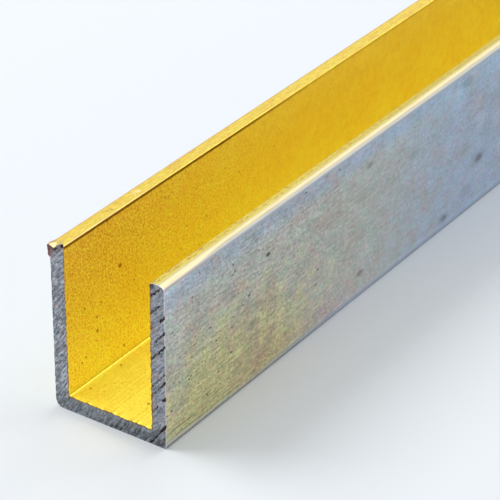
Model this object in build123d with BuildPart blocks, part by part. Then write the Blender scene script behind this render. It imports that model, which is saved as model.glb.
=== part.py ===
"""Brass U-channel: one length of extruded channel stock, lying on its web with both legs up.

The stock is a single solid. Its section is a flat web with a leg rising from each edge. The
outside corners are rounded and the inside corners are nearly sharp. The section is carried
straight along the length, and both ends are sawn square.

The frame has its origin on the underside of the web, in the middle of the length and of the
width. +Z points up out of the open groove, +Y runs along the stock and +X goes across it,
from one leg to the other. All sizes are in millimetres.
"""

from build123d import *

import os

# Driving sizes of the section
web_width = 12.7  # 1/2 in, across the outsides of the two legs
leg_height = 17.4625  # 11/16 in, from the underside of the web to the leg tops
leg_thickness = 1.5875  # 1/16 in
web_thickness = 1.5875  # 1/16 in
heel_radius = 0.8  # outside corners, where each leg meets the web
toe_radius = 0.55  # outside corner of each leg's top
root_radius = 0.15  # inside corners, at the bottom of the groove

# Driving size along the stock
stock_length = 304.8  # 12 in

# Worked out from the driving sizes
groove_width = web_width - 2 * leg_thickness
groove_depth = leg_height - web_thickness


with BuildPart() as u_channel:
    with BuildSketch(Plane.XZ) as section:
        # The outside of the section stands on the frame's origin
        Rectangle(web_width, leg_height, align=(Align.CENTER, Align.MIN))
        fillet(section.vertices().group_by(Axis.Y)[0], heel_radius)
        fillet(section.vertices().group_by(Axis.Y)[-1], toe_radius)

        # The groove leaves the web below it and a leg on each side
        with Locations((0, web_thickness)):
            Rectangle(
                groove_width,
                groove_depth,
                align=(Align.CENTER, Align.MIN),
                mode=Mode.SUBTRACT,
            )
        fillet(section.vertices(Select.LAST).group_by(Axis.Y)[0], root_radius)
    extrude(amount=stock_length / 2, both=True)

u_channel.part.label = "u_channel"

os.makedirs("parts", exist_ok=True)
export_step(u_channel.part, "parts/u_channel.step")
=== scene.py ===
"""Brass U-channel: a length of extruded channel stock, seen towards one of its sawn ends.

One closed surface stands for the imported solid. A section grid covers each sawn end, and the
grid's outline, carried along the length, makes the long faces. The shape functions work in
millimetres, and the mesh is written in metres.
"""

import bpy
import numpy as np
from bpy.props import FloatProperty, FloatVectorProperty, IntProperty, PointerProperty
from mathutils import Matrix, Vector


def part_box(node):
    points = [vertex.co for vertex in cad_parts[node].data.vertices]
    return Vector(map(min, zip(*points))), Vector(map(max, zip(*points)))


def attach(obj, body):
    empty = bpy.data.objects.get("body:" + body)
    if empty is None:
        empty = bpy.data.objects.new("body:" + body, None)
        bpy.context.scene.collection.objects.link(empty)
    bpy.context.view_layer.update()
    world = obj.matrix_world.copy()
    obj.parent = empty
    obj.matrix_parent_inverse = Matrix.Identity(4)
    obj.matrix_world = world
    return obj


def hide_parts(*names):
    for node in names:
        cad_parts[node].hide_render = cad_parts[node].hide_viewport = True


bl_info = {
    "name": "Brass U-channel",
    "version": (1, 0, 0),
    "blender": (4, 5, 0),
    "location": "View3D > Sidebar > Channel",
    "description": "Adds a length of brass U-channel with sawn ends, and a pale studio round it",
    "category": "Add Mesh",
}

NODE = "u_channel"
MM = 0.001

# Spacing in mm of the section's rows, of the rows close to a leg's top, and of the rings
ROW_STEP = 0.12
FINE_STEP = 0.04
RING_STEP = 6.5
FINE_REACH = 0.6  # how far below a leg's top the rows are that close
COLUMNS = 17  # points through the wall, in each row

# Face groups, in the order of the channel's material slots
SKIN, LAND, GROOVE, SAWN = range(4)

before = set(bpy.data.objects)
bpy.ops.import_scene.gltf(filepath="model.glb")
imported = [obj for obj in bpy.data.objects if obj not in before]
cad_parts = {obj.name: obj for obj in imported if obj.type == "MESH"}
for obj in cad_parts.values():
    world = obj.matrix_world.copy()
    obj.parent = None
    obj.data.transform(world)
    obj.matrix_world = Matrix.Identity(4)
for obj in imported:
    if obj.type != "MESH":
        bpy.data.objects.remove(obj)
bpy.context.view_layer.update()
cad_low, cad_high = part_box(NODE)


def screen(red, green, blue):
    """The linear colour that shows as these 0 to 255 values on a screen."""
    shown = np.array((red, green, blue)) / 255
    linear = np.where(shown <= 0.04045, shown / 12.92, ((shown + 0.055) / 1.055) ** 2.4)
    return tuple(float(value) for value in linear)


def length(name, description, millimetres):
    """A length property, with its default given in millimetres."""
    return FloatProperty(
        name=name,
        description=description,
        default=millimetres * MM,
        unit="LENGTH",
        precision=5,
    )


def colour(name, description, red, green, blue):
    """A colour property, with its default as it shows on a screen."""
    return FloatVectorProperty(
        name=name,
        description=description,
        default=screen(red, green, blue),
        subtype="COLOR",
        min=0.0,
        max=1.0,
    )


class ChannelSection(bpy.types.PropertyGroup):
    """Sizes of the section and of the length."""

    width: length("Width", "Across the outsides of the two legs", (cad_high.x - cad_low.x) / MM)
    height: length("Height", "From the underside to the leg tops", (cad_high.z - cad_low.z) / MM)
    stock: length("Length", "From one sawn end to the other", (cad_high.y - cad_low.y) / MM)
    wall: length("Wall", "Thickness of the legs and of the web", 1.5875)
    far_heel: length("Far heel radius", "Outside corner where the far leg meets the web", 0.85)
    near_heel: length("Near heel radius", "Outside corner where the near leg meets the web", 0.3)
    root: length("Root radius", "Inside corners at the bottom of the groove", 0.2)
    far_toe: length("Far toe radius", "Outer edge of the far leg's top", 0.35)
    near_toe: length("Near toe radius", "Outer edge of the near leg's top", 0.12)
    far_brow: length("Far brow radius", "Inner edge of the far leg's top", 0.06)
    near_brow: length("Near brow radius", "Inner edge of the near leg's top", 0.05)
    far_rise: length("Far leg rise", "How much higher the far leg's top stands", 0.15)
    near_drop: length("Near leg drop", "How much lower the near leg's top has worn", 0.29)
    near_lean: length("Near leg lean", "How much lower its top's inner edge is than the crown", 0.12)
    near_slope: length("Near leg slope", "How much lower its top's outer edge is than the crown", 0.34)
    crown: length("Crown", "How far the near leg's crown is from its outer face", 0.87)
    line_depth: length("Die line depth", "Relief of the lines that the die left along the faces", 0.004)


class ChannelCut(bpy.types.PropertyGroup):
    """The saw's work on both ends."""

    stroke_x: length("Stroke centre X", "Centre of the arcs that the saw teeth followed", 66.0)
    stroke_z: length("Stroke centre Z", "Centre of the arcs that the saw teeth followed", -42.0)
    gouge_heights: FloatVectorProperty(
        name="Gouge heights",
        description="Where the deep gouges meet the near leg's outer face",
        size=9,
        default=[height * MM for height in (17.3, 15.6, 14.0, 12.4, 10.95, 8.1, 7.2, 5.5, 2.5)],
        unit="LENGTH",
        precision=5,
    )
    gouge_width: length("Gouge width", "Half width of a deep gouge", 0.09)
    gouge_depth: length("Gouge depth", "Depth of the deepest gouges", 0.09)
    score_depth: length("Score depth", "Depth of the fine saw marks", 0.008)
    ragged: length("Ragged edge", "How far the groove's sawn edge wanders in the plane of the end", 0.05)
    burr_reach: length("Burr reach", "How far the burr stands out of the far leg", 0.29)
    burr_height: length("Burr height", "Height of the burr, down from the far leg's top", 1.35)
    flap_fall: length("Flap fall", "How far the far leg's top edge is folded down over the sawn end", 0.36)
    chip_depth: length("Chip depth", "How far the top edge beside the flap is chipped back", 0.3)
    seed: IntProperty(name="Seed", description="Changes where the marks fall", default=7)


class ChannelFinish(bpy.types.PropertyGroup):
    """Colours of the brass."""

    gold: colour("Gold", "Clean brass inside the groove", 255, 234, 114)
    amber: colour("Amber", "Warmer patches of the clean brass", 255, 229, 108)
    # Speck: on the groove's sawn rim a painted shadow; elsewhere real specks and scuffs
    speck: colour("Speck", "Dark specks, scuffs, and the groove's sawn rim", 146, 96, 28)
    # Shade: painted shade, the dark strip under the leg tops in the groove
    shade: colour("Shade", "Grime at the top of the groove", 110, 66, 10)
    # Grey and Lilac: partly tarnish, partly a painted reflection of blue surroundings on the outer faces;
    # Lilac also on the near top's outer edge
    grey: colour("Grey", "Tarnish on the outer faces", 188, 190, 182)
    lilac: colour("Lilac", "Bluish tarnish: high up, lowest down, and far along", 169, 184, 204)
    olive: colour("Olive", "Thin tarnish where the brass shows through", 210, 204, 154)
    clay: colour("Clay", "Brown mottles of the tarnish and of the sawn ends", 188, 164, 148)
    # Pit: also the painted contact shadow at the heel
    pit_and_contact_shadow: colour("Pit", "Corrosion pits, smudges and scratches", 60, 56, 50)
    straw: colour("Straw", "Top of the far leg", 232, 205, 88)
    # Orange: on the far top's outer edge a painted reflection of the floor; elsewhere warm patches and
    # dashes
    orange: colour("Orange", "Outer edge of the far leg's top, and warm patches", 216, 156, 76)
    lime: colour("Lime", "Inner half of the near leg's top, and patches of the far's", 228, 211, 98)
    # Cream: partly a painted highlight on the near top's crown; on the far top's fold it dims the
    # highlight as painted shade
    cream: colour("Cream", "Crown of the near leg's top, and the far top's fold", 203, 191, 150)
    # Burr: also the painted highlight line low on the near face, the painted glint along the far top's
    # inner edge, and the near top's paler end as painted highlight
    burr: colour("Burr", "Bare metal along sawn and rubbed edges", 224, 214, 216)
    dun: colour("Dun", "Outer side of the near leg's top", 162, 153, 130)
    sawn: colour("Sawn", "Ridges of the sawn ends", 176, 182, 190)
    dull: colour("Dull", "Furrows of the sawn ends", 106, 110, 120)
    # Gouge: also the painted shadow under the far top's fold and in the chip
    gouge: colour("Gouge", "Gouges, nicks and hatching of the sawn ends", 48, 36, 36)
    rust: colour("Rust", "Stain on the burr", 122, 66, 46)


class ChannelStage(bpy.types.PropertyGroup):
    """Floor, lights and camera."""

    floor: colour("Floor", "Colour of the floor", 222, 227, 232)
    reach: length("Floor size", "Side of the floor", 6000.0)
    camera_x: length("Camera X", "Where the camera stands", 118.4)
    camera_y: length("Camera Y", "Where the camera stands", -303.3)
    camera_z: length("Camera Z", "Where the camera stands", 130.6)
    azimuth: FloatProperty(
        name="Azimuth",
        description="Turn of the camera from looking along +Y",
        default=np.radians(34.31),
        unit="ROTATION",
    )
    elevation: FloatProperty(
        name="Elevation",
        description="Tilt of the camera below level",
        default=np.radians(30.26),
        unit="ROTATION",
    )
    roll: FloatProperty(
        name="Roll",
        description="Turn of the camera about its own line of sight",
        default=np.radians(0.315),
        unit="ROTATION",
    )
    lens: FloatProperty(
        name="Lens",
        description="Focal length in millimetres",
        default=180.8,
        unit="CAMERA",
    )
    daylight: FloatProperty(
        name="Daylight",
        description="Strength of the even light all round",
        default=0.6,
    )


def ease(low, high, value):
    """0 up to low, 1 from high on, and 3t² - 2t³ between them."""
    share = np.clip((value - low) / (high - low), 0, 1)
    return share * share * (3 - 2 * share)


def bell(value, middle, spread):
    """A bell curve over value: 1 at its middle, and 1/e at a spread from it."""
    return np.exp(-(((value - middle) / spread) ** 2))


def ripple(wavelength, seed, *axes):
    """Smooth noise between about -1 and 1: eight sine waves of random heading and phase, added.

    Each use adds its own number to the seed, so that no two of them move together.
    """
    draw = np.random.default_rng(seed)
    total = 0.0
    for _ in range(8):
        heading = draw.normal(size=len(axes))
        heading *= draw.uniform(0.6, 1.6) / np.linalg.norm(heading)
        phase = sum(part * axis for part, axis in zip(heading, axes))
        total = total + np.sin(2 * np.pi * (phase / wavelength + draw.uniform()))
    return total / 2.8


def round_edge(radius, reach):
    """Drop of a rounded edge at a distance reach from its face: r - sqrt(r² - (r - reach)²)."""
    inside = np.clip(radius - reach, 0, radius)
    return radius - np.sqrt(radius**2 - inside**2)


def rows_between(start, end, spacing):
    """Evenly spaced values from start to end, no further apart than spacing."""
    return np.linspace(start, end, int(np.ceil(abs(end - start) / spacing)) + 1)


def leg_rows(top, wall, heel, root):
    """Rows of one leg and of its corner, from the leg's top to the web.

    A row joins a point of the outer outline to one of the groove's outline, each given as
    (distance in from the leg's outer face, height). The outer outline runs straight down,
    round the heel's arc and along the underside. The groove's outline runs straight down
    and round the root's arc.
    """
    bend = wall + root
    fine = top - rows_between(0, FINE_REACH, FINE_STEP)
    height = np.concatenate([fine, rows_between(fine[-1], bend, ROW_STEP)[1:]])
    outer = np.stack([np.zeros_like(height), height], axis=1)
    inner = np.stack([np.full_like(height, wall), height], axis=1)

    turn = rows_between(0, np.pi / 2, ROW_STEP / heel)
    arc = np.stack([heel - heel * np.cos(turn), heel - heel * np.sin(turn)], axis=1)
    down = rows_between(bend, heel, ROW_STEP)[1:-1]
    along = rows_between(heel, bend, ROW_STEP)[1:]
    corner = np.concatenate(
        [
            np.stack([np.zeros_like(down), down], axis=1),
            arc,
            np.stack([along, np.zeros_like(along)], axis=1),
        ]
    )
    turn = np.linspace(0, np.pi / 2, len(corner) + 1)[1:]
    fillet = np.stack([bend - root * np.cos(turn), bend - root * np.sin(turn)], axis=1)
    return np.concatenate([outer, corner]), np.concatenate([inner, fillet])


def section_grid(size):
    """The section as a grid of (x, z) points, rows round the U by columns through the wall.

    Each row is a straight line from the outer outline to the groove's. Towards a leg's top
    the rows dip by the drop of the rounded toe and brow, so the top row follows both arcs.
    The near leg's top also falls away from its crown to both sides, as the distance squared.
    The columns are shares of the way in from the outer face, closest together at both faces.
    """
    columns = 0.5 - 0.5 * np.cos(np.linspace(0, np.pi, COLUMNS))
    sides = []
    for side, drop, lean, slope in (
        ("far", -size["far_rise"], 0.0, 0.0),
        ("near", size["near_drop"], size["near_lean"], size["near_slope"]),
    ):
        toe, brow, heel = (size[f"{side}_{part}"] for part in ("toe", "brow", "heel"))
        top = size["height"] - drop
        outer, inner = leg_rows(top, size["wall"], heel, size["root"])
        grid = outer[:, None] + (inner - outer)[:, None] * columns[None, :, None]
        thickness = np.linalg.norm(inner - outer, axis=1)[:, None]
        dip = round_edge(toe, columns * thickness) + round_edge(brow, (1 - columns) * thickness)
        from_crown = columns * thickness - size["crown"]
        inwards = np.clip(from_crown / (size["wall"] - size["crown"]), 0, None)
        outwards = np.clip(-from_crown / size["crown"], 0, None)
        dip = dip + lean * inwards**2 + slope * outwards**2
        grid[..., 1] -= dip * ease(top - 3.0, top, grid[..., 1])
        sides.append(grid)
    far, near = sides
    far[..., 0] -= size["width"] / 2
    near[..., 0] = size["width"] / 2 - near[..., 0]
    reach = size["width"] / 2 - size["wall"] - size["root"]
    across = rows_between(-reach, reach, ROW_STEP)[1:-1]
    web = np.stack(
        [
            np.repeat(across[:, None], len(columns), axis=1),
            np.repeat(size["wall"] * columns[None, :], len(across), axis=0),
        ],
        axis=-1,
    )
    return np.concatenate([far, web, near[::-1]])


def outline_of(rows, columns):
    """Row and column numbers once round a grid's edge: outer faces, near top, groove, far top."""
    down = np.arange(rows)
    through = np.arange(1, columns - 1)
    row = [down, np.full(len(through), rows - 1), down[::-1], np.zeros(len(through), int)]
    column = [np.zeros(rows, int), through, np.full(rows, columns - 1), through[::-1]]
    return np.concatenate(row), np.concatenate(column)


def stations(stock):
    """Distances of the rings from one end, close together at both ends."""
    close = np.array([0, 0.06, 0.14, 0.24, 0.38, 0.56, 0.85, 1.3, 2.0, 3.0, 4.5])
    middle = rows_between(close[-1], stock - close[-1], RING_STEP)[1:-1]
    return np.concatenate([close, middle, stock - close[::-1]])


def end_seed(cut, end):
    """The seed of an end's marks: end is -1 at the near one and 1 at the far one."""
    return cut["seed"] + (100 if end > 0 else 0)


def gouges(x, z, size, cut, seed):
    """Depth of the deep gouges, as a share of the deepest.

    The saw teeth ran on arcs about the stroke's centre, so a gouge is a bell curve over the
    distance from that centre. It fades in patches, and the near leg has the deepest ones.
    """
    draw = np.random.default_rng(seed)
    radius = np.hypot(x - cut["stroke_x"], z - cut["stroke_z"])
    wander = radius + 0.04 * ripple(0.6, seed, x, z)
    edge = cut["stroke_x"] - size["width"] / 2
    total = np.zeros_like(x)
    for number, height in enumerate(cut["gouge_heights"]):
        centre = np.hypot(edge, height - cut["stroke_z"])
        share = draw.uniform(0.7, 1.0)
        widening = 0.6 + 0.6 * ease(5.0, size["width"] / 2, x)
        spread = cut["gouge_width"] * draw.uniform(0.8, 1.3) * widening
        patch = ease(-1.2, 0.0, ripple(2.0, seed + 1 + number, x, z))
        total = np.maximum(total, share * patch * bell(wander, centre, spread))
    return total * (0.3 + 0.7 * ease(-3, 4, x))


def end_relief(x, z, size, cut, seed):
    """How deep the saw went past the end's plane: the gouges and fine marks along the same arcs."""
    radius = np.hypot(x - cut["stroke_x"], z - cut["stroke_z"])
    along = np.arctan2(z - cut["stroke_z"], cut["stroke_x"] - x)
    score = ripple(0.5, seed + 50, radius, 2 * along)
    score = score + 0.6 * ripple(0.35, seed + 51, radius, 3 * along)
    return cut["gouge_depth"] * gouges(x, z, size, cut, seed) + cut["score_depth"] * (1 + score)


def burr_share(x, z, size, cut):
    """1 on the burr at the outer top corner of the far leg, 0 away from it."""
    inwards = x + size["width"] / 2
    foot = size["height"] - cut["burr_height"]
    return (1 - ease(0.15, 0.55, inwards)) * ease(foot - 0.06, foot + 0.06, z)


def stain_share(x, z, size, cut):
    """How much the sawn end is stained brown: on the burr, and less under the folded edge."""
    below = size["height"] - z
    under = (1 - ease(0.25, 0.8, below)) * (1 - ease(0.9, 1.4, x + size["width"] / 2))
    return np.maximum(burr_share(x, z, size, cut), 0.55 * under)


def flap_share(x, size):
    """How far the far leg's top edge is folded down: most in its middle, less at its outside."""
    inwards = x + size["width"] / 2
    return bell(inwards, 0.52, 0.28) + 0.4 * bell(inwards, 0, 0.3)


def chip_share(x, size):
    """Where the far leg's top edge is chipped back, beside the fold."""
    return bell(x + size["width"] / 2, 1.3, 0.2)


def fold_shadow(x, z, size):
    """Painted shadow in the gap under the folded edge and in the chip, as a share of a gouge's darkness.
    """
    below = size["height"] - z
    under = np.clip(1.5 * flap_share(x, size) * bell(below, 0.12, 0.1), 0, 1)
    return np.maximum(under, 0.9 * chip_share(x, size) * bell(below, 0, 0.14))


def placed(x, z, inset, end, size, cut):
    """Where the saw and the burr left section points that lie at a distance inset from an end.

    The groove's sawn edge wanders in the end's plane, and the end's relief goes in along the
    length. Both fade out with the distance from the end. At the near end the burr stands out
    of the far leg, and beside it the top edge is folded down as a flap and chipped back.
    """
    seed = end_seed(cut, end)
    fade = np.exp(-inset / 0.3)
    half_groove = size["width"] / 2 - size["wall"]
    from_groove = np.maximum(np.abs(x) - half_groove, size["wall"] - z)
    rough = cut["ragged"] * (0.3 + 0.7 * (1 - ease(0.05, 0.5, from_groove))) * fade
    moved_x = x + rough * (ripple(0.9, seed + 60, x, z) + 0.5 * ripple(0.4, seed + 61, x, z))
    aloft = ripple(0.9, seed + 62, x, z) + 0.5 * ripple(0.4, seed + 63, x, z)
    moved_z = z + rough * aloft * ease(0.0, 0.4, z)
    moved_y = inset + end_relief(x, z, size, cut, seed) * (1 - ease(0, 0.6, inset))
    if end < 0:
        inwards = x + size["width"] / 2
        burr = burr_share(x, z, size, cut) * bell(inset, 0, 0.5)
        moved_x = moved_x - cut["burr_reach"] * burr * (1 + 0.1 * ripple(0.5, seed + 64, z, x))
        beside = (1 - ease(1.6, 2.0, inwards)) * np.exp(-inset / 0.25)
        upper = ease(size["height"] - 0.9, size["height"], z) * beside
        lifted = z + 0.5 * (1 - ease(0, 0.35, inwards))
        brink = ease(size["height"] - 0.12, size["height"] - 0.02, lifted)
        flap = flap_share(x, size)
        chip = chip_share(x, size)
        moved_z = moved_z - cut["flap_fall"] * flap * upper
        moved_y = moved_y + (cut["chip_depth"] * chip - 0.14 * flap) * brink * beside
    return moved_x, end * (size["stock"] / 2 - moved_y), np.maximum(moved_z, 0)


def millimetres(group):
    """The lengths of a property group in millimetres, and its seed as it is, by name."""
    found = {}
    for name in type(group).__annotations__:
        value = getattr(group, name)
        if name == "seed":
            found[name] = value
        else:
            found[name] = np.array(value) / MM if hasattr(value, "__len__") else value / MM
    return found


def channel_arrays(size, cut):
    """Vertices in millimetres, quads, each quad's face group, and each vertex's gouge with painted shadow,
    and stain.

    The rings are the section grid's outline at each station. The die's lines move them along
    the outline's normal. The grid itself closes each end and shares the first or last ring.
    """
    grid = section_grid(size)
    rows, columns = grid.shape[:2]
    row, column = outline_of(rows, columns)
    outline = grid[row, column]
    count = len(outline)
    step = np.roll(outline, -1, axis=0) - np.roll(outline, 1, axis=0)
    normal = np.stack([step[:, 1], -step[:, 0]], axis=1) / np.linalg.norm(step, axis=1, keepdims=True)
    around = np.cumsum(np.linalg.norm(outline - np.roll(outline, 1, axis=0), axis=1))
    waves = ripple(0.55, cut["seed"] + 80, around) + ripple(2.0, cut["seed"] + 81, around)
    lines = size["line_depth"] * waves

    parts = []
    marks = []
    insets = stations(size["stock"])
    for from_near in insets:
        inset = min(from_near, size["stock"] - from_near)
        end = -1 if from_near <= size["stock"] / 2 else 1
        drawn = outline + normal * (lines * ease(0.2, 1.5, inset))[:, None]
        x, y, z = placed(drawn[:, 0], drawn[:, 1], inset, end, size, cut)
        parts.append(np.stack([x, y, z], axis=1))
        gouge_and_shadow = gouges(outline[:, 0], outline[:, 1], size, cut, end_seed(cut, end)) * (inset == 0)
        stain = burr_share(outline[:, 0], outline[:, 1], size, cut) * (end < 0)
        marks.append(np.stack([gouge_and_shadow, stain * np.exp(-inset / 0.5)], axis=1))

    quads = []
    groups = []
    start = np.arange(count)
    follow = (start + 1) % count
    # Along the outline come the outer faces, the near top, the groove and the far top
    stops = (rows - 1, rows + columns - 2, 2 * rows + columns - 3)
    group = np.select([start < stop for stop in stops], [SKIN, LAND, GROOVE], LAND)
    for ring in range(len(insets) - 1):
        near, far = ring * count, (ring + 1) * count
        quads.append(np.stack([near + start, near + follow, far + follow, far + start], axis=1))
        groups.append(group)

    used = count * len(insets)
    for end, ring in ((-1, 0), (1, len(insets) - 1)):
        inside = grid[1:-1, 1:-1].reshape(-1, 2)
        x, y, z = placed(inside[:, 0], inside[:, 1], 0.0, end, size, cut)
        parts.append(np.stack([x, y, z], axis=1))
        gouge_and_shadow = gouges(inside[:, 0], inside[:, 1], size, cut, end_seed(cut, end))
        # The painted shadow under the folded edge and in the chip, carried with the gouges
        gouge_and_shadow = np.maximum(gouge_and_shadow, fold_shadow(inside[:, 0], inside[:, 1], size) * (end < 0))
        stain = stain_share(inside[:, 0], inside[:, 1], size, cut) * (end < 0)
        marks.append(np.stack([gouge_and_shadow, stain], axis=1))
        number = np.zeros((rows, columns), int)
        number[row, column] = ring * count + start
        number[1:-1, 1:-1] = used + np.arange(len(inside)).reshape(rows - 2, columns - 2)
        used += len(inside)
        corners = [number[:-1, :-1], number[:-1, 1:], number[1:, 1:], number[1:, :-1]]
        face = np.stack([corner.ravel() for corner in corners], axis=1)
        quads.append(face if end < 0 else face[:, ::-1])
        groups.append(np.full(len(face), SAWN))
    return tuple(np.concatenate(found) for found in (parts, quads, groups, marks))


class Wire:
    """A shader socket that can be used in arithmetic, which adds the Math nodes it needs."""

    def __init__(self, tree, socket=None):
        self.tree = tree
        self.socket = socket

    def node(self, kind, settings=None, inputs=None, output=0):
        """Adds a node, makes its settings, fills its input sockets and returns one output."""
        made = self.tree.nodes.new("ShaderNode" + kind)
        for name, value in (settings or {}).items():
            setattr(made, name, value)
        for key, value in (inputs or {}).items():
            if isinstance(value, Wire):
                self.tree.links.new(value.socket, made.inputs[key])
            elif made.inputs[key].type == "RGBA":
                made.inputs[key].default_value = (*value[:3], 1.0)
            else:
                made.inputs[key].default_value = value
        return Wire(self.tree, made.outputs[output] if made.outputs else None)

    def math(self, operation, *values):
        """A Math node of this operation over these values."""
        return self.node("Math", {"operation": operation}, dict(enumerate(values)))

    def __add__(self, other):
        if isinstance(other, tuple):
            return self.node("VectorMath", {"operation": "ADD"}, {0: self, 1: other})
        return self.math("ADD", self, other)

    __radd__ = __add__

    def __sub__(self, other):
        return self.math("SUBTRACT", self, other)

    def __rsub__(self, other):
        return self.math("SUBTRACT", other, self)

    def __mul__(self, other):
        return self.math("MULTIPLY", self, other)

    __rmul__ = __mul__

    def __abs__(self):
        return self.math("ABSOLUTE", self)

    def larger(self, other):
        """The larger of this value and another."""
        return self.math("MAXIMUM", self, other)

    def rise(self, low, high):
        """0 up to low and 1 from high on, smooth between them."""
        settings = {"interpolation_type": "SMOOTHSTEP"}
        return self.node("MapRange", settings, {"Value": self, "From Min": low, "From Max": high})

    def fall(self, low, high):
        """1 up to low and 0 from high on, smooth between them."""
        return 1 - self.rise(low, high)

    def blend(self, under, over):
        """The colour under where this wire is 0, and over where it is 1."""
        return self.node("Mix", {"data_type": "RGBA"}, {0: self, 6: under, 7: over}, output=2)

    def times(self, vector):
        """This vector multiplied by another, part by part."""
        return self.node("VectorMath", {"operation": "MULTIPLY"}, {0: self, 1: vector})

    def part(self, axis):
        """One part of this vector: 0 for X, 1 for Y and 2 for Z."""
        return self.node("SeparateXYZ", inputs={0: self}, output=axis)

    def noise(self, scale, detail, roughness):
        """Noise of 0 to 1 over this vector."""
        inputs = {"Vector": self, "Scale": scale, "Detail": detail, "Roughness": roughness}
        return self.node("TexNoise", inputs=inputs)

    def specks(self, scale, radius, share):
        """Round specks over this vector, one in each of a share of the Voronoi cells."""
        inputs = {"Vector": self, "Scale": scale}
        distance = self.node("TexVoronoi", inputs=inputs)
        chance = self.node("TexVoronoi", inputs=inputs, output=1).part(0)
        speck = distance.fall(radius * scale * 0.5, radius * scale)
        return speck * chance.fall(share - 0.01, share + 0.01)

    def spot(self, centre, radius):
        """1 at a centre, falling to 0 at a radius from it."""
        distance = self.node("VectorMath", {"operation": "DISTANCE"}, {0: self, 1: centre}, output=1)
        return distance.fall(0.4 * radius, radius)


def new_material(name):
    """An empty material, with a wire to start from and the object's coordinates in millimetres."""
    material = bpy.data.materials.new(name)
    material.use_nodes = True
    material.node_tree.nodes.clear()
    start = Wire(material.node_tree)
    place = start.node("TexCoord", output=3).times((1 / MM, 1 / MM, 1 / MM))
    return material, start, place


def finish_metal(start, shade, roughness, height, relief, metallic=1.0):
    """Ends a metal material with its colour, roughness and a bump of this relief in metres."""
    bump = start.node("Bump", inputs={"Strength": 1.0, "Distance": relief, "Height": height})
    inputs = {"Base Color": shade, "Roughness": roughness, "Metallic": metallic, "Normal": bump}
    surface = start.node("BsdfPrincipled", inputs=inputs)
    start.node("OutputMaterial", inputs={"Surface": surface})


# Dark flecks on the far leg's inner face: distance from the end, height and radius, in mm
WALL_FLECKS = (
    (8.17, 11.7, 0.32),
    (4.5, 6.45, 0.24),
    (8.5, 2.78, 0.2),
    (4.5, 7.95, 0.17),
    (2.1, 4.12, 0.17),
    (2.67, 4.45, 0.17),
    (5.17, 9.2, 0.15),
    (10.3, 9.12, 0.15),
    (2.75, 9.7, 0.15),
    (22.1, 10.5, 0.24),
    (14.8, 15.9, 0.18),
    (15.3, 15.7, 0.22),
    (15.9, 15.5, 0.18),
    (6.4, 17.3, 0.2),
)
# Dark flecks on the groove's floor: distance from the end, X and radius, in mm
FLOOR_FLECKS = (
    (2.2, -3.95, 0.16),
    (7.0, -4.05, 0.16),
    (3.2, 2.0, 0.2),
)
# Scuffs on the far leg's top: distance from the end, X and radius, in mm
TOP_SCUFFS = (
    (7.9, -5.36, 0.24),
    (7.4, -5.48, 0.2),
    (11.6, -5.2, 0.12),
)
# A spot rubbed bright there: the same measures
RUBBED_SPOT = (11.9, -5.5, 0.42)
# Corrosion pits on the near leg's outer face: distance from the end, height and radius, in mm
PITS = (
    (16.3, 12.7, 0.28),
    (13.2, 9.8, 0.16),
    (10.5, 13.3, 0.13),
    (10.9, 13.5, 0.11),
    (6.9, 9.5, 0.13),
    (7.9, 7.6, 0.14),
    (10.3, 5.1, 0.16),
    (24.9, 6.9, 0.15),
    (24.6, 5.3, 0.14),
    (28.4, 16.3, 0.15),
    (22.6, 16.4, 0.12),
    (4.2, 14.1, 0.12),
    (3.6, 5.7, 0.13),
    (3.9, 5.9, 0.12),
    (0.9, 3.7, 0.13),
)
# A brown patch on that face: the same measures
BROWN_PATCH = (14, 5.5, 8)
# Smudges on that face: the same measures, and how dark each is
SMUDGES = (
    (16.6, 9.3, 1.0, 0.2),
    (27.2, 11.2, 1.2, 0.14),
    (32.7, 7.0, 0.7, 0.16),
    (13.7, 6.4, 0.7, 0.25),
    (55.9, 5.6, 1.2, 0.22),
    (56.0, 5.5, 0.6, 0.48),
    (49.0, 1.3, 0.8, 0.36),
    (49.1, 1.3, 0.4, 0.35),
    (42.4, 11.8, 0.7, 0.26),
    (52.8, 15.7, 0.8, 0.45),
    (34.0, 14.3, 0.45, 0.5),
    (32.7, 2.7, 0.48, 0.6),
    (41.5, 5.2, 0.9, 0.1),
    (37.5, 11.0, 0.5, 0.16),
    (13.8, 13.7, 0.7, 0.2),
    (11.5, 14.1, 0.6, 0.18),
    (14.1, 8.0, 0.8, 0.2),
    (13.0, 2.0, 0.8, 0.18),
    (32.7, 11.6, 1.0, 0.18),
    (35.2, 11.5, 0.7, 0.14),
    (27.3, 9.3, 0.9, 0.14),
    (21.8, 5.6, 0.9, 0.14),
    (53.4, 2.5, 1.0, 0.2),
)


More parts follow.
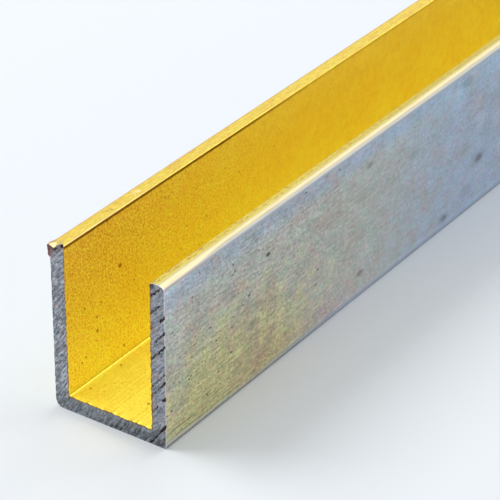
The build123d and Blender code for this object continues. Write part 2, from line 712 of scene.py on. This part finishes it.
def groove_material(size, finish):
    """Clean gold brass: a pebbled grain, specks and flecks, and a strip of painted shade under the tops.
    """
    material, start, place = new_material("groove_brass")
    from_end = place.part(1) + size["stock"] / 2
    near = from_end.fall(8, 45)
    cloud = place.noise(0.2, 2.0, 0.5)
    grain = place.noise(4.6, 2.0, 0.65)
    coarse_grain = place.noise(1.1, 3.0, 0.6)

    # Gold, with a warmer zone high up near the end
    shade = cloud.rise(0.35, 0.65).blend(finish.gold, finish.amber)
    warm = place.part(2).rise(5, 16) * from_end.fall(3, 22) * 0.18
    shade = warm.blend(shade, finish.orange)

    # Pebbled grain, strongest on the walls near the end, and a slightly darker floor
    upright = place.part(2).rise(1.6, 2.2)
    rough = 1 + place.part(2).rise(7, 13) * from_end.fall(5, 18) * 0.3
    pebbles = (grain - 0.5) * (0.35 + near * (0.25 + 1.05 * upright)) * rough
    pebbles = pebbles + (coarse_grain - 0.5) * (0.14 + 0.16 * upright)
    shade = upright.blend(shade.times((0.89, 0.99, 0.84)), shade)
    away = from_end.rise(16, 34)
    gains = {
        0: 1 + pebbles * 0.6 - away * 0.01,
        1: 1 + pebbles + away * 0.02,
        2: 1 + pebbles * 1.4 + away * 0.1,
    }
    shade = shade.times(start.node("CombineXYZ", inputs=gains))

    # Dark specks, and the flecks in their own places
    fine = place.specks(1.6, 0.09, 0.3) * (0.3 + 0.5 * near)
    worms = place.noise(3.4, 2.0, 0.5).rise(0.6, 0.7) * 0.3 * near
    coarse = place.specks(0.4, 0.13, 0.3) * 0.7
    dark = (fine.larger(worms) * upright).larger(coarse)
    wall_x = size["wall"] - size["width"] / 2
    flecks = [(along, wall_x, z, radius) for along, z, radius in WALL_FLECKS]
    flecks += [(along, x, size["wall"], radius) for along, x, radius in FLOOR_FLECKS]
    strength = 0.85 - 0.45 * from_end.rise(11, 15)
    for along, x, z, radius in flecks:
        fleck = place.spot((x, along - size["stock"] / 2, z), radius)
        dark = dark.larger(fleck * strength)
    shade = dark.blend(shade, finish.speck)

    # Painted shade under the leg tops, less of it far along
    near_leg = place.part(0).rise(-1, 1)
    step = size["far_rise"] + size["near_drop"] + size["near_lean"]
    tops = size["height"] + size["far_rise"] - near_leg * step
    below = tops - place.part(2) + (coarse_grain - 0.5) * 0.12
    # Painted shade: darker just under the tops
    painted_shade_under_tops = below.fall(0.28, 0.4) * (0.85 - 0.65 * from_end.rise(24, 44))
    shade = painted_shade_under_tops.blend(shade, finish.shade)
    height = grain * 0.6 + coarse_grain - dark
    finish_metal(start, shade, 0.42 + 0.12 * grain, height, 0.012 * MM)
    return material


def skin_material(size, finish):
    """Tarnished outer faces: fine streaks, cloudy tarnish that is partly a painted reflection of blue
    surroundings, pits, smudges, scratches and rims, and low down a painted highlight line and painted
    contact shadow.
    """
    material, start, place = new_material("tarnished_brass")
    from_end = place.part(1) + size["stock"] / 2
    to_end = size["stock"] / 2 - abs(place.part(1))
    height = place.part(2)
    face = size["width"] / 2
    near = from_end.fall(12, 40)
    cloud = place.noise(0.13, 3.0, 0.6)
    mottle = place.noise(0.45, 4.0, 0.65)
    speckle = place.times((1, 0.7, 1)).noise(4.0, 3.0, 0.75)
    streak = place.times((3, 0.2, 3)).noise(1.0, 3.0, 0.65)
    hair = place.times((6, 0.35, 6)).noise(1.0, 2.0, 0.6)
    hue = (place.times((1, 0.6, 1)) + (0, 0, 70)).noise(1.3, 4.0, 0.75) - 0.5

    # Grey to bluish, partly tarnish and partly a painted reflection of blue surroundings, with brown
    # mottles and thin olive patches
    clay = (place + (40, 0, 0)).noise(0.3, 4.0, 0.6).rise(0.46, 0.72) * (0.38 + 0.12 * near)
    drift = place.times((1, 0.4, 1)).noise(0.055, 2.0, 0.5)
    far_along = from_end.rise(60, 95)
    cool = height.rise(size["height"] - 4.2, size["height"] - 0.8)
    cool = cool + height.rise(9, 15) * from_end.fall(1, 6) * 0.3
    fading = from_end.rise(58, 130) * (0.65 + 0.35 * drift.rise(0.38, 0.56))
    far_side = place.part(0).fall(-1, 1)
    cool = cool.larger(from_end.rise(22, 60) * (1 - fading) * (1 - far_side * 0.45))
    cool = (cool + (mottle - 0.5) * 0.9).rise(0.05, 1.0)
    cool = cool * (0.62 + 0.28 * from_end.rise(15, 40))
    shade = cool.blend(finish.grey, finish.lilac)
    shade = clay.blend(shade, finish.clay)
    low = height.fall(1, 16) * from_end.fall(12, 36) * (0.6 + 0.4 * from_end.rise(0, 5))
    low = low.larger(far_along * drift.rise(0.48, 0.66) * height.fall(5, 17) * 0.5)
    patch = (low + (mottle - 0.5) * 1.1 + (cloud - 0.5) * 0.6).rise(0.1, 0.95)
    shade = patch.blend(shade, finish.olive)
    along, up, radius = BROWN_PATCH
    brown = place.spot((face, along - size["stock"] / 2, up), radius)
    brown = brown * (place + (0, 60, 0)).noise(0.6, 4.0, 0.65)
    shade = (brown.rise(0.35, 0.7) * 0.65).blend(shade, finish.clay)

    # Light and dark: grain, then the zones along the top, the end and the lowest edge
    gain = 1 + (speckle - 0.5) * (0.9 + 0.8 * near)
    gain = gain + (hair - 0.5) * (0.3 + 0.6 * near) + (mottle - 0.5) * 0.45
    gain = gain + height.rise(15.6, 16.8) * from_end.fall(1, 6) * 0.26
    gain = gain + height.fall(0.6, 1.1) * 0.08
    gain = gain + from_end.fall(1.5, 5) * 0.08
    # Lighter low down, further along: painted light, making up for the shade of the floor that this face
    # reflects
    gain = gain + height.fall(0.5, 9) * from_end.rise(14, 28) * 0.18
    gain = gain + height.fall(0.6, 1.1) * from_end.rise(20, 35) * 0.14
    gain = gain - height.rise(9, 13) * from_end.rise(15, 28) * 0.05
    under_top = height.rise(14.8, 15.8) * from_end.rise(5, 11) * from_end.fall(18, 30)
    gain = gain - under_top * 0.05
    shade = shade.times(gain - streak.rise(0.45, 0.8) * (0.08 + 0.08 * near))
    # More blue high up further along: painted reflection of blue surroundings
    blue = height.rise(12.5, 15.5) * from_end.rise(28, 46) * (1 - far_along)
    rosy = height.fall(1.2, 5) * from_end.rise(8, 14) * from_end.fall(26, 36)
    gains = {
        0: 1 + hue * 0.5,
        1: 1 - hue * 0.3 + blue * 0.08 - rosy * 0.08,
        2: 1 + hue * 0.1 + blue * 0.1,
    }
    shade = shade.times(start.node("CombineXYZ", inputs=gains))

    # Pits and smudges, longer along the stock than up it
    ticks = place.times((1, 0.5, 1)).specks(1.1, 0.11, 0.4) * (0.15 + 0.75 * near)
    spots = place.times((1, 0.7, 1)).specks(0.3, 0.2, 0.3) * 0.5
    dots = place.times((1, 0.5, 1)).specks(1.9, 0.09, 0.4) * 0.6 * near
    pits = ticks.larger(spots).larger(dots)
    squeeze = 0.55
    squeezed = place.times((1, squeeze, 1))
    for along, up, radius in PITS:
        centre = (face, squeeze * (along - size["stock"] / 2), up)
        pits = pits.larger(squeezed.spot(centre, radius))
    smudge = 0
    for along, up, radius, darkness in SMUDGES:
        centre = (face, squeeze * (along - size["stock"] / 2), up)
        smudge = squeezed.spot(centre, radius) * darkness + smudge
    shade = (smudge * (mottle + speckle).rise(0.6, 1.3)).blend(shade, finish.pit_and_contact_shadow)

    # Two scratches low down, near the end
    upper = abs(height - 1.5 + (cloud - 0.5) * 0.6).fall(0.02, 0.09)
    upper = upper * from_end.rise(0.2, 0.6) * from_end.fall(3.6, 4.6)
    lower = abs(height - 0.75 + (cloud - 0.5) * 0.3).fall(0.02, 0.08)
    lower = lower * from_end.rise(0.6, 2) * from_end.fall(10, 13)
    pits = pits.larger(upper * 0.7).larger(lower * 0.6)
    shade = (pits * (0.9 - 0.4 * from_end.rise(15, 40))).blend(shade, finish.pit_and_contact_shadow)

    # The lowest edge: a bluish painted reflection, a painted highlight line and a painted contact shadow
    # at the heel, and the bright sawn rim
    # Bluish band low down: painted reflection of blue surroundings
    band = height.fall(0.4, 0.9) * (0.3 + 0.4 * from_end.rise(11, 22))
    shade = band.blend(shade, finish.lilac)
    # A light line on the heel near the end: painted highlight
    worn = abs(height - 0.46 + (speckle - 0.5) * 0.2).fall(0.04, 0.12) * from_end.fall(3, 12)
    shade = (worn * 0.8).blend(shade, finish.burr)
    # Dark at the heel where it meets the floor: painted contact shadow, less of it far along
    heel = height.fall(0.12, 0.27) * abs(place.part(0)).rise(face - 0.6, face - 0.4)
    shade = (heel * (0.85 - 0.7 * from_end.rise(12, 32))).blend(shade, finish.pit_and_contact_shadow)
    rim = (to_end + (speckle - 0.5) * 0.4).fall(0.03, 0.11) * 0.9
    shade = rim.blend(shade, finish.burr)
    relief = streak * 0.5 + hair * 0.3 + speckle * 0.2 - pits
    finish_metal(start, shade, 0.38 + 0.2 * streak, relief, 0.01 * MM, 0.85)
    return material


def land_material(size, finish):
    """Leg tops: the near one pale along its crown, partly a painted highlight, the far one scuffed and
    folded, with a painted reflection, glint and shade at its edges.
    """
    material, start, place = new_material("leg_top_brass")
    from_end = place.part(1) + size["stock"] / 2
    across = size["width"] / 2 - abs(place.part(0))
    near_leg = place.part(0).rise(-1, 1)
    streak = place.times((9, 0.25, 9)).noise(1.0, 3.0, 0.6)
    blotch = place.times((2, 0.5, 2)).noise(1.0, 3.0, 0.6)
    waver = (blotch - 0.5) * 0.2

    # The near leg's top: a pale crown, partly a painted highlight; inner half with dark dashes; dull outer
    # side, paler towards the end as a painted highlight; bluish outer edge as a painted reflection
    dashes = place.times((7, 1.5, 7)).noise(1.0, 2.0, 0.6)
    inner_shade = (dashes.rise(0.45, 0.6) * 0.4).blend(finish.lime, finish.orange)
    inner_shade = inner_shade.times(1 - from_end.rise(15, 55) * 0.15)
    # Pale crown: partly a painted highlight
    near_shade = (across + waver * 0.6).rise(0.7, 0.94).blend(finish.cream, inner_shade)
    # Outer side paler and wider towards the end: painted highlight
    edge = across + waver * 0.3 - 0.04 + from_end.fall(3, 10) * 0.2
    dun = (from_end.fall(3, 10) * 0.32).blend(finish.dun, finish.burr)
    near_shade = edge.fall(0.22, 0.54).blend(near_shade, dun)
    # Bluish outer edge: painted reflection of blue surroundings
    near_shade = (edge.fall(0.05, 0.25) * 0.55).blend(near_shade, finish.lilac)
    near_shade = near_shade.times(1 - abs(across - 1.05).fall(0.05, 0.2) * 0.08)
    scuff = (across + waver).rise(0.85, 1.15) * dashes.rise(0.5, 0.62) * from_end.fall(15, 60)
    near_shade = (scuff * (0.35 + 0.2 * from_end.fall(5, 20))).blend(near_shade, finish.speck)

    # The far leg's top: orange outer edge as a painted reflection, lime patches, scuffs, a bright inner
    # line as a painted glint, and the folded front dimmed as painted shade
    far_shade = (blotch.rise(0.45, 0.7) * 0.4).blend(finish.straw, finish.orange)
    # Orange outer edge: painted reflection, where the rounded edge mirrors the floor
    far_shade = (across + waver).fall(0.1, 0.45).blend(far_shade, finish.orange)
    fleck = place.times((5, 1.6, 5)).noise(1.0, 3.0, 0.6)
    tint = (place + (30, 0, 0)).times((1, 0.4, 1)).noise(0.9, 3.0, 0.65)
    far_shade = (tint.rise(0.5, 0.68) * 0.45).blend(far_shade, finish.lime)
    far_shade = far_shade.times(1 + (fleck - 0.5) * 0.75)
    top = size["height"] + size["far_rise"]
    for along, x, radius in TOP_SCUFFS:
        scuffed = place.spot((x, along - size["stock"] / 2, top), radius) * 0.45
        far_shade = scuffed.blend(far_shade, finish.speck)
    squeeze = 0.5
    along, x, radius = RUBBED_SPOT
    centre = (x, squeeze * (along - size["stock"] / 2), top)
    rubbed = place.times((1, squeeze, 1)).spot(centre, radius) * fleck.rise(0.35, 0.55)
    far_shade = (rubbed * 0.3).blend(far_shade, finish.burr).times(1 + rubbed * 0.2)
    # Bright line along the inner edge: painted glint
    painted_inner_glint = (across - size["wall"]).rise(-0.2, -0.12) * from_end.fall(4, 20) * 0.22
    far_shade = painted_inner_glint.blend(far_shade, finish.burr)
    # Paler and darker on the folded front: painted shade dimming the lamp's highlight there
    fold = from_end.fall(0.3, 0.9) * across.fall(1.0, 1.3)
    far_shade = (fold * 0.6).blend(far_shade, finish.cream).times(1 - fold * 0.15)

    # Both tops: drawn streaks, and then the sawn edge and the burr's stain
    shade = near_leg.blend(far_shade, near_shade)
    shade = shade.times(1 - streak.rise(0.45, 0.8) * 0.15)
    to_end = size["stock"] / 2 - abs(place.part(1))
    shade = ((to_end + waver * 0.3).fall(0.04, 0.14) * near_leg * 0.8).blend(shade, finish.burr)
    stain = start.node("Attribute", {"attribute_name": "stain"}, output=2)
    shade = (stain * 0.6 * across.fall(0.2, 0.6)).blend(shade, finish.rust)
    finish_metal(start, shade, 0.36 + 0.15 * streak, streak, 0.006 * MM)
    return material


def sawn_material(size, cut, finish):
    """Sawn ends: marks, nicks and gouges on the saw's arcs, a dark rim of painted shadow along the groove,
    painted shadow under the fold, and a stained burr.
    """
    material, start, place = new_material("sawn_brass")

    # Ridges and furrows along the saw's arcs
    flat = place.times((1, 0, 1))
    centre = (cut["stroke_x"], 0, cut["stroke_z"])
    radius = start.node("VectorMath", {"operation": "DISTANCE"}, {0: flat, 1: centre}, output=1)
    along = place.part(0) + place.part(2)
    arcs = start.node("CombineXYZ", inputs={0: radius, 1: along * 0.16, 2: place.part(1) * 0.02})
    marks = arcs.noise(6.0, 3.0, 0.65)
    bands = arcs.noise(2.2, 1.0, 0.5)
    grit = place.noise(4.5, 3.0, 0.7)
    tint = place.noise(1.6, 2.0, 0.5)
    shade = (marks * 0.65 + grit * 0.35).rise(0.38, 0.62).blend(finish.dull, finish.sawn)
    shade = (tint.rise(0.5, 0.66) * 0.3).blend(shade, finish.clay)

    # Short nicks, and the darker web with its hatching
    strokes = start.node("CombineXYZ", inputs={0: radius, 1: along * 0.35, 2: place.part(1) * 0.02})
    far_leg = place.part(0).fall(-5, -4)
    nicks = (strokes.noise(3.2, 3.0, 0.7) + far_leg * 0.05).rise(0.58, 0.72) * 0.7
    shade = nicks.blend(shade, finish.gouge)
    shade = (bands.rise(0.52, 0.7) * 0.4).blend(shade, finish.dull)
    web = place.part(2).fall(0.8, 2.2)
    shade = web.blend(shade, shade.times((0.76, 0.8, 0.8)))
    hatch = arcs.noise(3.4, 2.0, 0.65).rise(0.5, 0.62) * place.part(0).rise(-2.5, 0.5)
    shade = (hatch * web * 0.5).blend(shade, finish.gouge)
    shade = shade.times(1 + far_leg * (0.05 + (marks - 0.5) * 1.6))

    # The burr's stain, the bright outer edge, the gouges with the painted shadow under the fold and in the
    # chip, and the dark rim along the groove as painted shadow
    stain = start.node("Attribute", {"attribute_name": "stain"}, output=2)
    shade = (stain * 0.8).blend(shade, finish.rust)
    edge = (size["width"] / 2 - place.part(0) + (grit - 0.5) * 0.2).fall(0.03, 0.09) * 0.7
    shade = edge.blend(shade, finish.burr)
    # Gouges, and the painted shadow under the fold and in the chip
    deep = start.node("Attribute", {"attribute_name": "gouge"}, output=2)
    shade = (deep + (grit - 0.5) * 0.5).rise(0.15, 0.5).blend(shade, finish.gouge)
    half_groove = size["width"] / 2 - size["wall"]
    into_wall = (abs(place.part(0)) - half_groove).larger(size["wall"] - place.part(2))
    # Dark rim along the groove's edge: painted shadow under the burr
    rim = (into_wall + (grit - 0.5) * 0.25).fall(0.06, 0.16)
    shade = (rim * 0.75).blend(shade, finish.speck)
    under_brow = size["height"] - size["near_drop"] - 0.3
    corner = (half_groove + 0.1, -size["stock"] / 2, under_brow)
    shade = (place.spot(corner, 0.6) * 0.7).blend(shade, finish.gouge)
    relief = marks + bands * 0.5 + grit * 0.5
    finish_metal(start, shade, 0.45 + 0.15 * marks, relief, 0.012 * MM, 0.8)
    return material


class CHANNEL_OT_add_channel(bpy.types.Operator):
    """Add the length of brass U-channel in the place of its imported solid"""

    bl_idname = "channel.add_channel"
    bl_label = "Add channel"

    def execute(self, context):
        scene = context.scene
        size, cut = millimetres(scene.channel_section), millimetres(scene.channel_cut)
        finish = scene.channel_finish
        vertices, quads, groups, marks = channel_arrays(size, cut)
        mesh = bpy.data.meshes.new("channel")
        mesh.from_pydata((vertices * MM).tolist(), [], quads.tolist())
        # In the order of the face groups
        for material in (
            skin_material(size, finish),
            land_material(size, finish),
            groove_material(size, finish),
            sawn_material(size, cut, finish),
        ):
            mesh.materials.append(material)
        mesh.polygons.foreach_set("material_index", groups)
        # The gouge attribute also carries the painted shadow under the fold and in the chip
        for number, name in enumerate(("gouge", "stain")):
            mesh.attributes.new(name, "FLOAT", "POINT").data.foreach_set("value", marks[:, number])
        mesh.shade_smooth()
        mesh.set_sharp_from_angle(angle=np.radians(40))
        if mesh.validate():
            raise RuntimeError("the channel's mesh has broken faces")
        piece = bpy.data.objects.new("channel", mesh)
        scene.collection.objects.link(piece)
        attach(piece, "root")
        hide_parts(NODE)
        return {"FINISHED"}


def add_panel_light(scene, name, place, aim, side, power):
    """A square area light of this side that shines from a place towards an aim."""
    light = bpy.data.lights.new(name, "AREA")
    light.size = side
    light.energy = power
    lamp = bpy.data.objects.new(name, light)
    turn = (Vector(aim) - Vector(place)).to_track_quat("-Z", "Y").to_matrix().to_4x4()
    lamp.matrix_world = Matrix.Translation(place) @ turn
    scene.collection.objects.link(lamp)


class CHANNEL_OT_add_stage(bpy.types.Operator):
    """Add the pale floor, the even light, the soft lamps and the camera"""

    bl_idname = "channel.add_stage"
    bl_label = "Add stage"

    def execute(self, context):
        scene = context.scene
        stage = scene.channel_stage
        half = stage.reach / 2
        mesh = bpy.data.meshes.new("floor")
        corners = [(-half, -half, 0), (half, -half, 0), (half, half, 0), (-half, half, 0)]
        mesh.from_pydata(corners, [], [(0, 1, 2, 3)])
        material = bpy.data.materials.new("pale_floor")
        material.use_nodes = True
        material.node_tree.nodes.clear()
        start = Wire(material.node_tree)
        surface = start.node("BsdfPrincipled", inputs={"Base Color": stage.floor, "Roughness": 0.8})
        start.node("OutputMaterial", inputs={"Surface": surface})
        mesh.materials.append(material)
        floor = bpy.data.objects.new("floor", mesh)
        scene.collection.objects.link(floor)

        world = bpy.data.worlds.new("daylight")
        scene.world = world
        world.use_nodes = True
        world.node_tree.nodes.clear()
        sky = Wire(world.node_tree)
        seen = sky.node("LightPath", output="Is Camera Ray")
        for ray in ("Is Glossy Ray", "Is Transmission Ray"):
            seen = seen.larger(sky.node("LightPath", output=ray))
        lit = sky.node("Background", inputs={"Color": (1, 1, 1), "Strength": stage.daylight})
        shown = sky.node("Background", inputs={"Color": (0.93, 0.95, 0.97), "Strength": 1.0})
        surface = sky.node("MixShader", inputs={0: seen, 1: lit, 2: shown})
        sky.node("OutputWorld", inputs={"Surface": surface})

        aim = (0, -scene.channel_section.stock / 2, 0)
        add_panel_light(scene, "back_softbox", (0.12, 0.74, 0.94), aim, 0.9, 4.6)
        add_panel_light(scene, "left_softbox", (-0.8, -0.35, 1.0), aim, 0.7, 10.0)

        camera = bpy.data.cameras.new("camera")
        camera.sensor_width = 36
        camera.lens = stage.lens
        camera.clip_start = 0.01
        holder = bpy.data.objects.new("camera", camera)
        holder.matrix_world = (
            Matrix.Translation((stage.camera_x, stage.camera_y, stage.camera_z))
            @ Matrix.Rotation(stage.azimuth, 4, "Z")
            @ Matrix.Rotation(np.pi / 2 - stage.elevation, 4, "X")
            @ Matrix.Rotation(stage.roll, 4, "Z")
        )
        scene.collection.objects.link(holder)
        scene.camera = holder
        scene.view_settings.view_transform = "Standard"
        return {"FINISHED"}


class CHANNEL_PT_sidebar(bpy.types.Panel):
    """Sizes, finish and stage of the channel"""

    bl_label = "Brass U-channel"
    bl_idname = "CHANNEL_PT_sidebar"
    bl_space_type = "VIEW_3D"
    bl_region_type = "UI"
    bl_category = "Channel"

    def draw(self, context):
        for heading, name in SETTINGS.items():
            box = self.layout.box()
            box.label(text=heading)
            group = getattr(context.scene, name)
            for prop in type(group).__annotations__:
                box.prop(group, prop)
        self.layout.operator(CHANNEL_OT_add_channel.bl_idname)
        self.layout.operator(CHANNEL_OT_add_stage.bl_idname)


# The panel's headings, with the scene property that holds each group
SETTINGS = {
    "Section": "channel_section",
    "Sawn ends": "channel_cut",
    "Finish": "channel_finish",
    "Stage": "channel_stage",
}
GROUPS = (ChannelSection, ChannelCut, ChannelFinish, ChannelStage)
CLASSES = (*GROUPS, CHANNEL_OT_add_channel, CHANNEL_OT_add_stage, CHANNEL_PT_sidebar)


def register():
    """Registers the classes and gives the scene its property groups."""
    for item in CLASSES:
        bpy.utils.register_class(item)
    for name, group in zip(SETTINGS.values(), GROUPS):
        setattr(bpy.types.Scene, name, PointerProperty(type=group))


def unregister():
    """Takes the property groups and the classes away again."""
    for name in SETTINGS.values():
        delattr(bpy.types.Scene, name)
    for item in reversed(CLASSES):
        bpy.utils.unregister_class(item)


def main():
    """Builds the channel and its stage."""
    register()
    bpy.ops.channel.add_channel()
    bpy.ops.channel.add_stage()


if __name__ == "__main__":
    main()
